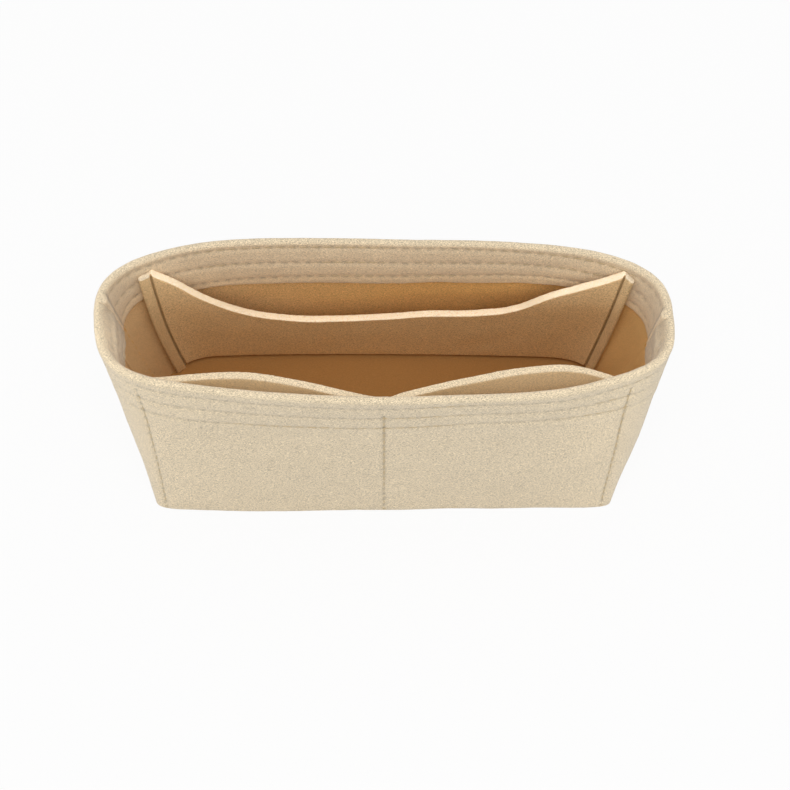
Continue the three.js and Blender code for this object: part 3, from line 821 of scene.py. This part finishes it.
class INSERT_OT_base(InsertOperator):
    """Flat oblong base inside the foot of the walls"""

    bl_idname = "insert.base"
    bl_label = "Base"

    def execute(self, context):
        tube = self.tube(context)
        sizes = tube.sizes
        maker = bmesh.new()
        bmesh.ops.create_grid(maker, x_segments=150, y_segments=64, size=1.0)
        half_width = sizes.base_width / 2 - sizes.wall_felt - PLY_GAP
        half_depth = sizes.base_depth / 2 - sizes.wall_felt - PLY_GAP
        middle = sizes.base_setback - tube.shift
        around = np.arange(2 * COLUMNS) / (2 * COLUMNS)
        # The edge is sewn in, so it reaches a little into the foot of the wall
        foot = tube.at(around, BASE_SEAM_HEIGHT, sizes.wall_felt - 0.5 * MM)
        for vertex in maker.verts:
            x, y = vertex.co.x, vertex.co.y
            power = BACK_SQUARENESS if y > 0 else FRONT_SQUARENESS
            spread = (abs(x) ** power + abs(y) ** power) ** (1 / power)
            pull = max(abs(x), abs(y)) / spread if spread else 0.0
            spot = Vector((x * pull * half_width, middle + y * pull * half_depth, 0.0))
            if max(abs(x), abs(y)) > 0.999:
                gap = np.hypot(foot[:, 0] - spot.x, foot[:, 1] - spot.y)
                spot = Vector(foot[np.argmin(gap)])
            spot.z = 0.12 * MM * (1 + noise.noise(spot / (11 * MM)))
            vertex.co = spot
        bmesh.ops.solidify(maker, geom=maker.faces[:], thickness=-sizes.base_felt)
        bmesh.ops.recalc_face_normals(maker, faces=maker.faces)
        piece = finish_piece("base_felt", maker, self.felts(context)["base"])
        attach(piece, "insert")
        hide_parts("base_panel")
        return {"FINISHED"}


class Divider:
    """The divider's places: folds and tabs that lie on the walls, and a dipped top edge."""

    # Per side, places round the tube: the fold at the rim and at the foot, then the tab's edge
    # at the rim and at the foot
    PLACES = {"left": (0.431, 0.430, 0.442, 0.443), "right": (0.0615, 0.066, 0.052, 0.055)}

    # How far both lines bend forward half-way up
    BENDS = {"left": 0.004, "right": -0.001}

    # X and height of places along the dipped top edge, in millimetres
    HEAD = (
        (-86, 80.3), (-79.5, 75.2), (-72, 67.3), (-62, 58.1), (-50, 50.2),
        (-37, 46.2), (-17, 45.4), (0, 47.1), (18, 50.4), (37, 51.5),
        (53, 57.3), (63, 66.9), (73, 73), (83, 78.9), (89, 83.2),
    )

    def __init__(self, tube):
        sizes = tube.sizes
        self.tube = tube
        self.foot = sizes.base_felt + sizes.divider_lift
        self.floor = sizes.base_felt + PLY_GAP

    def line(self, side, height, at_rim, at_foot):
        """Places round the tube along a fold or an edge."""
        rise = height / self.tube.sizes.height
        return at_foot + (at_rim - at_foot) * rise + 4 * self.BENDS[side] * rise * (1 - rise)

    def on_tab(self, side, height, across, lift):
        """Points on a tab: across is 0 at the fold and 1 at the edge, lift is off the wall."""
        fold = self.line(side, height, *self.PLACES[side][:2])
        edge = self.line(side, height, *self.PLACES[side][2:])
        return self.tube.at(fold + (edge - fold) * across, height, self.tube.lining_depth(height) + lift)

    def fold(self, side, height):
        """Points on a fold's front face."""
        return self.on_tab(side, height, 0.0, self.tube.sizes.tab_felt)

    def middle(self, height):
        """Y of the front face half-way between the folds."""
        return (self.fold("left", height)[..., 1] + self.fold("right", height)[..., 1]) / 2

    def corner(self, side):
        """The fold's front face at the top edge."""
        return self.fold(side, np.array(self.HEAD[0 if side == "left" else -1][1] * MM))

    def head(self, x):
        """Height of the top edge at an X."""
        return smooth_through(self.HEAD, x / MM) * MM


class INSERT_OT_divider(InsertOperator):
    """Rear divider with a dipped top edge, folded forward at both ends as sewn tabs"""

    bl_idname = "insert.divider"
    bl_label = "Divider"

    # How far a tab's top falls towards its edge
    TAB_FALL = {"left": 0.4 * MM, "right": 1.7 * MM}

    # Painted shade on the tab's cut edges, and painted light on the panel's, which makes them paler than
    # the felt
    TAB_CUT_DARK, PANEL_CUT_DARK = 0.06, -0.26

    def half(self, tube, side, mirror, felts):
        """The tab and the panel of one side, up to the middle, as one piece."""
        sizes = tube.sizes
        place = Divider(tube)
        felt = sizes.panel_felt
        share, fall, into, cut = ply_rows(steps=40, thickness=1.0, radius=0.16)
        cut = cut * (share > 0.5)
        share, fall, into = share[None, :], fall[None, :] * felt, into[None, :]
        # Panel, from the fold to the middle, bowed back a little, most at its foot; a crease runs
        # along the fold
        corner = place.corner(side)
        reach, top = abs(corner[0]), corner[2]
        inward = np.linspace(0, 1, 150)[:, None] ** 1.5
        head = place.head(mirror * reach * (1 - inward))
        height = place.foot + (head - place.foot) * share - fall
        fold = place.fold(side, height)
        x = fold[..., 0] * (1 - inward)
        bow = 1.6 * MM * (1 - (1 - inward) ** 2)
        bow = bow + 3.8 * MM * (1 - share) * (1 - (1 - inward) ** 16)
        crease = bump_at(inward * reach, 0, 0.36 * MM) * (1 - into)
        y = fold[..., 1] + (place.middle(height) - fold[..., 1]) * inward + bow
        y = y + felt * into + 1.0 * MM * crease
        panel = np.stack([x, y, height], axis=-1)
        # The crease along the fold is painted darker as shade
        panel_painted_shading = 0.32 * crease
        # Tab, from its free edge, which is pressed thin, to the fold; its back is cut shorter, so
        # a thin gap shows beside it
        across = np.linspace(1, 0, 26)[:, None]
        into = np.where(across == 1, 0.5, into)
        tab_top = top - self.TAB_FALL[side] * across
        tab_height = place.floor + (tab_top - place.floor) * share - fall
        pressing_and_painted_shade = 0.45 * across**8 + 0.5 * bump_at(across, 0, 0.07)
        lift = sizes.tab_felt * (1 - into) * (1 - pressing_and_painted_shade)
        tab = place.on_tab(side, tab_height, across * (1 - 0.2 * into), lift)
        # The tab is painted a little darker, and its free edge and fold much darker, as painted shade
        tab_painted_shade = 0.07 + 0.4 * (across**14 + bump_at(across, 0, 0.05)) * (1 - into)
        points = np.concatenate([tab, panel])
        points[..., 1] += roughness(points, *DIVIDER_LUMPS)
        points[..., 2] += roughness(points, *PANEL_CUT) * cut[None, :]
        # The cut edges get painted shade on the tab and painted light on the panel
        tab_painted_shade = tab_painted_shade + (self.TAB_CUT_DARK - tab_painted_shade) * cut
        panel_painted_shading = panel_painted_shading + (self.PANEL_CUT_DARK - panel_painted_shading) * cut
        painted_shading = np.concatenate([tab_painted_shade, panel_painted_shading])
        maker = wrapped(points, cut, 0.0, painted_shading, cap_material=0)
        piece = finish_piece(f"divider_felt_{side}", maker, felts)
        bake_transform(piece)
        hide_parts(f"divider_end_{side}", "divider_panel")

    def execute(self, context):
        tube = self.tube(context)
        felts = self.felts(context)["panel"]
        for side, mirror in SIDES.items():
            self.half(tube, side, mirror, felts)
        return {"FINISHED"}


class INSERT_OT_pockets(InsertOperator):
    """Two front pockets of one felt, sewn down at the sides, the middle and the foot"""

    bl_idname = "insert.pockets"
    bl_label = "Pockets"

    # How far to the outside each pocket opens widest, and how fully its inner and outer half open
    BULGES = {"left": (1.15, 0.94, 1.0), "right": (1.76, 0.43, 1.0)}

    # Distance from the front's middle at which a pocket's inner felt ends and its outer one starts
    HALFWAY = 50 * MM

    def opening(self, sizes, run, gape, skew, inner, outer):
        """How far a pocket's top edge stands off at a distance from the front's middle.

        It is closed for 3 mm beside the middle seam and 1.5 mm beside the outer one.
        """
        share = np.clip((np.abs(run) - 3 * MM) / (sizes.pocket_seam - 4.5 * MM), 0, 1)
        turn = share**skew
        return gape * np.sin(math.pi * turn) ** np.where(turn < 0.5, inner, outer)

    def panel(self, tube, name, start, end, bulge, felts):
        """One felt of a pocket, between two distances from the front's middle, and its flat size."""
        sizes = tube.sizes
        foot = sizes.base_felt + PLY_GAP + sizes.pocket_foot
        top = sizes.height - sizes.pocket_drop
        share, fall, into, cut = ply_rows(steps=44, thickness=sizes.panel_felt, radius=0.45 * MM)
        run = np.linspace(start, end, round(abs(end - start) / (0.6 * MM)))[:, None]
        height = foot + (top - foot) * share[None, :] - fall[None, :] + 0 * run
        rise = np.clip((height - foot) / (top - foot), 0, 1)
        depth = tube.lining_depth(height) + self.opening(sizes, run, *bulge) * rise + into[None, :]
        place = FRONT_MIDDLE + tube.along(run)
        spots = tube.at(place + 0 * height, height, depth)
        ragged = roughness(spots, *PANEL_CUT) * cut[None, :]
        points = tube.at(place, height + ragged, depth + roughness(spots, *POCKET_LUMPS))
        piece = finish_piece(name, wrapped(points, cut), felts)
        return piece, (abs(end - start), top - foot)

    def foot(self, tube, felts):
        """The strip along the pockets' foot that is sewn down."""
        sizes = tube.sizes
        low = sizes.base_felt + PLY_GAP
        share, fall, into, cut = ply_rows(steps=8, thickness=sizes.panel_felt, radius=0.3 * MM)
        reach = sizes.pocket_seam + sizes.pocket_edge
        run = np.linspace(-reach, reach, 240)[:, None]
        height = low + sizes.pocket_foot * share[None, :] - fall[None, :] + 0 * run
        depth = tube.lining_depth(height) + into[None, :]
        points = tube.at(FRONT_MIDDLE + tube.along(run), height, depth)
        piece = finish_piece("pocket_foot_felt", wrapped(points, 0 * cut), felts)
        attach(piece, "insert")
        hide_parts("pocket_border")
        return piece

    def execute(self, context):
        tube = self.tube(context)
        sizes = tube.sizes
        felts = self.felts(context)["pocket"]
        foot = self.foot(tube, felts)
        reach = sizes.pocket_seam + sizes.pocket_edge
        gapes = {"left": sizes.left_gape, "right": sizes.right_gape}
        # Distances from the front's middle: a felt's two ends, where it starts to move, and where
        # it moves in full
        halves = (
            ("inner", 0.0, self.HALFWAY, 4 * MM, 34 * MM),
            ("outer", self.HALFWAY, reach, sizes.pocket_seam - 3 * MM, 56 * MM),
        )
        for side, mirror in SIDES.items():
            bulge = (gapes[side], *self.BULGES[side])
            for half, near, far, held, loose in halves:
                name = f"pocket_felt_{side}_{half}"
                piece, flat = self.panel(tube, name, mirror * near, mirror * far, bulge, felts)
                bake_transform(piece)
                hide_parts(f"pocket_panel_{side}")
        return {"FINISHED"}


class INSERT_OT_hem_stitches(InsertOperator):
    """Three rows of stitches round the hem, outside and inside"""

    bl_idname = "insert.hem_stitches"
    bl_label = "Hem stitches"

    def execute(self, context):
        tube = self.tube(context)
        sizes = tube.sizes
        threads = self.threads(context)
        share = np.linspace(0, 1, ROUND_POINTS)
        faces = (("outside", STITCH_DEPTH, 1), ("inside", sizes.hem_felt - STITCH_DEPTH, -1))
        for row, height in zip(HEM_ROWS, tube.row_heights(share)):
            for face, depth, outwards in faces:
                line = tube.at(share, height, depth)
                centres, directions, at = stitch_places(line, sizes.stitch, tube.stitches)
                out = outwards * tube.outward_at(at, np.interp(at, share, height))
                name, node = f"hem_stitches_{row}_{face}", f"hem_row_{row}_{face}"
                stitch_row(name, node, tube, centres, directions, out, threads)
        return {"FINISHED"}


class INSERT_OT_seams(InsertOperator):
    """Stitches of the pockets, the divider's tabs, the side laps and the base"""

    bl_idname = "insert.seams"
    bl_label = "Seams"

    # Points along an upright seam and along the pockets' foot
    POINTS, FOOT_POINTS = 90, 400

    # Width of the thread in the finer seams
    BASE_WIDTH, TAB_WIDTH, LAP_WIDTH = 0.6, 0.6, 0.7

    def on_wall(self, tube, share, height, depth=None):
        """Points on the wall's outside, or facing in at a depth, and the way that each faces."""
        line = tube.at(share, height, STITCH_DEPTH if depth is None else depth)
        return line, tube.outward_at(share, height) * (1 if depth is None else -1)

    def sew(self, tube, seam, line, out, threads, width_scale=1.0):
        """Stitches along a line of points that face out, in place of a seam's node."""
        name = seam.replace("foot_seam", "seam_foot").replace("seam", "stitches")
        centres, directions, at = stitch_places(line, tube.sizes.stitch)
        out = read_at(at, np.linspace(0, 1, len(out)), out)
        stitch_row(name, seam, tube, centres, directions, out, threads, width_scale)

    def sew_pockets(self, tube, threads):
        """The pockets' three upright seams and their foot seam, outside and inside."""
        sizes = tube.sizes
        on_panel = sizes.panel_felt - 0.05 * MM
        foot = sizes.base_felt + PLY_GAP + sizes.pocket_foot
        for name, side in POCKET_SEAMS.items():
            height = np.linspace(POCKET_SEAM_TOPS[name], 4.5 * MM, self.POINTS)
            outside = self.on_wall(tube, tube.pocket_line(height, side), height)
            height = np.linspace(sizes.height - sizes.pocket_drop - SEAM_END, foot, self.POINTS)
            depth = tube.lining_depth(height) + on_panel
            inside = self.on_wall(tube, tube.pocket_line(height, side), height, depth)
            for face, (line, out) in (("outside", outside), ("inside", inside)):
                self.sew(tube, f"pocket_seam_{name}_{face}", line, out, threads)
        reach = POCKET_FOOT_REACH * sizes.pocket_seam
        run = np.linspace(-reach, reach, self.FOOT_POINTS)
        place = FRONT_MIDDLE + tube.along(run)
        # Outside, the foot seam rises a little towards the right
        height = 1.4 * MM + 4.8 * MM * bump_at(run, reach, 15 * MM)
        outside = self.on_wall(tube, place, height)
        height = np.full(len(run), foot - sizes.pocket_foot / 2)
        inside = self.on_wall(tube, place, height, tube.lining_depth(height) + on_panel)
        for face, (line, out) in (("outside", outside), ("inside", inside)):
            self.sew(tube, f"pocket_foot_seam_{face}", line, out, threads)

    def execute(self, context):
        tube = self.tube(context)
        sizes = tube.sizes
        threads = self.threads(context)
        self.sew_pockets(tube, threads)
        share = np.linspace(0, 1, ROUND_POINTS)
        base = self.on_wall(tube, share, np.full(len(share), BASE_SEAM_HEIGHT))
        self.sew(tube, "base_seam", *base, threads, self.BASE_WIDTH)
        # Inside, the laps' thread is as warm as the felt around it, whose colour is painted shade
        shaded_inside_thread = [spun_thread("shaded_inside_thread", context.scene.insert_colours.shaded_inside)]
        low = sizes.base_felt + PLY_GAP + SEAM_END
        divider = Divider(tube)
        for side, seam, towards_back in SIDE_SEAMS:
            height = np.linspace(low, divider.corner(side)[2] - SEAM_END, self.POINTS)
            # A tab's stitches sit deep in its fold
            tab = divider.on_tab(side, height, 0.03, 0.25 * sizes.tab_felt)
            out = np.full((self.POINTS, 3), (-0.5 * SIDES[side], -0.8, 0.2))
            self.sew(tube, f"tab_seam_{side}_inside", tab, out, threads, self.TAB_WIDTH)
            height = np.linspace(low, tube.hem_edge() - SEAM_END, self.POINTS)
            tab = self.on_wall(tube, np.full(self.POINTS, TAB_SEAMS[side]), height)
            self.sew(tube, f"tab_seam_{side}_outside", *tab, threads)
            place = np.full(self.POINTS, seam + towards_back * tube.along(sizes.lap_width / 2))
            inside = sizes.wall_felt + 0.4 * MM
            for face, depth, thread in (("outside", None, threads), ("inside", inside, shaded_inside_thread)):
                lap = self.on_wall(tube, place, height, depth)
                self.sew(tube, f"lap_seam_{side}_{face}", *lap, thread, self.LAP_WIDTH)
        return {"FINISHED"}


class INSERT_OT_tacks(InsertOperator):
    """Zigzag tacks over the butted ends of the hem"""

    bl_idname = "insert.tacks"
    bl_label = "Tacks"

    # Stitches of a tack, how far they swing to both sides, and how far they keep from the rows
    STITCHES = 8
    SWING = 4 * MM
    OFF_ROWS = 1 * MM

    def execute(self, context):
        tube = self.tube(context)
        sizes = tube.sizes
        threads = self.threads(context)
        upper, middle, _ = tube.row_heights(RIGHT_SIDE)
        height = np.linspace(upper - self.OFF_ROWS, middle + self.OFF_ROWS, self.STITCHES + 1)
        run = np.where(np.arange(self.STITCHES + 1) % 2 == 0, -self.SWING, self.SWING)
        for side, place, _ in SIDE_SEAMS:
            line = tube.at(place + tube.along(run), height, sizes.hem_felt + 0.1 * MM)
            centres = (line[1:] + line[:-1]) / 2
            directions = line[1:] - line[:-1]
            out = -tube.outward_at(np.full(self.STITCHES, place), height[1:])
            name, node = f"hem_tack_{side}", f"bar_tack_{side}"
            stitch_row(name, node, tube, centres, directions, out, threads, width_scale=1.2)
        return {"FINISHED"}


class INSERT_OT_stage(bpy.types.Operator):
    """Pale floor, soft light and the camera"""

    bl_idname = "insert.stage"
    bl_label = "Stage"

    WHITE, PAPER = "#FFFFFF", "#E7E7E7"

    # How much of what the camera sees of the paper is plain white; the rest keeps the shadow
    PLAIN = 0.9
    FLOOR_SIZE = 4.0

    # The lamp's place and diameter, and where it and the camera are aimed
    LAMP_PLACE, LAMP_AIM, LAMP_SIZE = (0.0, -0.7, 1.5), (0.0, 0.0, 0.04), 0.9
    CAMERA_AIM = (0.0, -5.1 * MM, 42 * MM)
    SENSOR_WIDTH, SHIFT_X, SHIFT_Y = 36.0, 0.0139, -0.0152

    def light_seen(self, tree):
        """1 where the camera, a reflection or glass sees the surface, 0 where it lights others."""
        path = add_node(tree, "LightPath").outputs
        seen = path["Is Camera Ray"]
        for ray in ("Is Glossy Ray", "Is Transmission Ray"):
            seen = add_node(tree, "Math", {"operation": "MAXIMUM"}, {0: seen, 1: path[ray]})
        return seen

    def sky(self, strength):
        """Even light from all round, which the camera sees as white."""
        world = bpy.data.worlds.new("pale_studio")
        tree = emptied_tree(world)
        white = to_linear(self.WHITE)
        light = add_node(tree, "Background", inputs={"Color": white, "Strength": strength})
        seen = add_node(tree, "Background", inputs={"Color": white, "Strength": 1.0})
        mix = add_node(tree, "MixShader", inputs={0: self.light_seen(tree), 1: light, 2: seen})
        add_node(tree, "OutputWorld", inputs={"Surface": mix})
        return world

    def floor(self):
        """A sheet of white paper under the insert, with a faint shadow."""
        maker = bmesh.new()
        bmesh.ops.create_grid(maker, x_segments=2, y_segments=2, size=self.FLOOR_SIZE)
        mesh = bpy.data.meshes.new("floor")
        maker.to_mesh(mesh)
        maker.free()
        material = bpy.data.materials.new("white_paper_sweep")
        tree = emptied_tree(material)
        paper = add_node(tree, "BsdfDiffuse", inputs={"Color": to_linear(self.PAPER)})
        white = add_node(tree, "Emission", inputs={"Color": to_linear(self.WHITE), "Strength": 1.0})
        seen = self.light_seen(tree)
        plain = add_node(tree, "Math", {"operation": "MULTIPLY"}, {0: seen, 1: self.PLAIN})
        mix = add_node(tree, "MixShader", inputs={0: plain, 1: paper, 2: white})
        add_node(tree, "OutputMaterial", inputs={"Surface": mix})
        mesh.materials.append(material)
        floor = bpy.data.objects.new("floor", mesh)
        bpy.context.scene.collection.objects.link(floor)

    def lamp(self, power):
        """A round softbox high in front."""
        data = bpy.data.lights.new("top_softbox", "AREA")
        data.energy = power
        data.shape = "DISK"
        data.size = self.LAMP_SIZE
        lamp = bpy.data.objects.new("top_softbox", data)
        lamp.location = self.LAMP_PLACE
        way = Vector(self.LAMP_AIM) - Vector(self.LAMP_PLACE)
        lamp.rotation_euler = way.to_track_quat("-Z", "Y").to_euler()
        bpy.context.scene.collection.objects.link(lamp)

    def execute(self, context):
        scene = context.scene
        settings = scene.insert_stage
        scene.view_settings.view_transform = "Standard"
        scene.world = self.sky(settings.sky)
        self.floor()
        self.lamp(settings.key_power)
        back = Vector((0.0, -math.cos(settings.elevation), math.sin(settings.elevation)))
        data = bpy.data.cameras.new("camera")
        data.lens = settings.lens
        data.sensor_width = self.SENSOR_WIDTH
        data.shift_x = self.SHIFT_X
        data.shift_y = self.SHIFT_Y
        camera = bpy.data.objects.new("camera", data)
        camera.location = Vector(self.CAMERA_AIM) + back * settings.distance
        camera.rotation_euler = (math.pi / 2 - settings.elevation, 0.0, 0.0)
        scene.collection.objects.link(camera)
        scene.camera = camera
        return {"FINISHED"}


OPERATORS = (
    INSERT_OT_stage,
    INSERT_OT_walls,
    INSERT_OT_base,
    INSERT_OT_divider,
    INSERT_OT_pockets,
    INSERT_OT_hem_stitches,
    INSERT_OT_seams,
    INSERT_OT_tacks,
)


class INSERT_PT_panel(bpy.types.Panel):
    """Lists the insert's pieces, sizes and colours in the sidebar."""

    bl_idname = "INSERT_PT_panel"
    bl_label = "Purse organizer insert"
    bl_space_type = "VIEW_3D"
    bl_region_type = "UI"
    bl_category = "Insert"

    def draw(self, context):
        scene = context.scene
        for operator in OPERATORS:
            self.layout.operator(operator.bl_idname)
        for group in (scene.insert_sizes, scene.insert_colours, scene.insert_stage):
            for name in group.bl_rna.properties.keys():
                if name not in ("rna_type", "name"):
                    self.layout.prop(group, name)


CLASSES = (InsertSizes, InsertColours, InsertStage, *OPERATORS, INSERT_PT_panel)


def register():
    """Adds the classes, and their settings to each scene."""
    for item in CLASSES:
        bpy.utils.register_class(item)
    bpy.types.Scene.insert_sizes = bpy.props.PointerProperty(type=InsertSizes)
    bpy.types.Scene.insert_colours = bpy.props.PointerProperty(type=InsertColours)
    bpy.types.Scene.insert_stage = bpy.props.PointerProperty(type=InsertStage)


def unregister():
    """Takes away what register added."""
    del bpy.types.Scene.insert_stage
    del bpy.types.Scene.insert_colours
    del bpy.types.Scene.insert_sizes
    for item in reversed(CLASSES):
        bpy.utils.unregister_class(item)


def main():
    """Makes every piece in order."""
    register()
    for operator in OPERATORS:
        group, name = operator.bl_idname.split(".")
        getattr(getattr(bpy.ops, group), name)()
    bpy.context.view_layer.update()


if __name__ == "__main__":
    main()
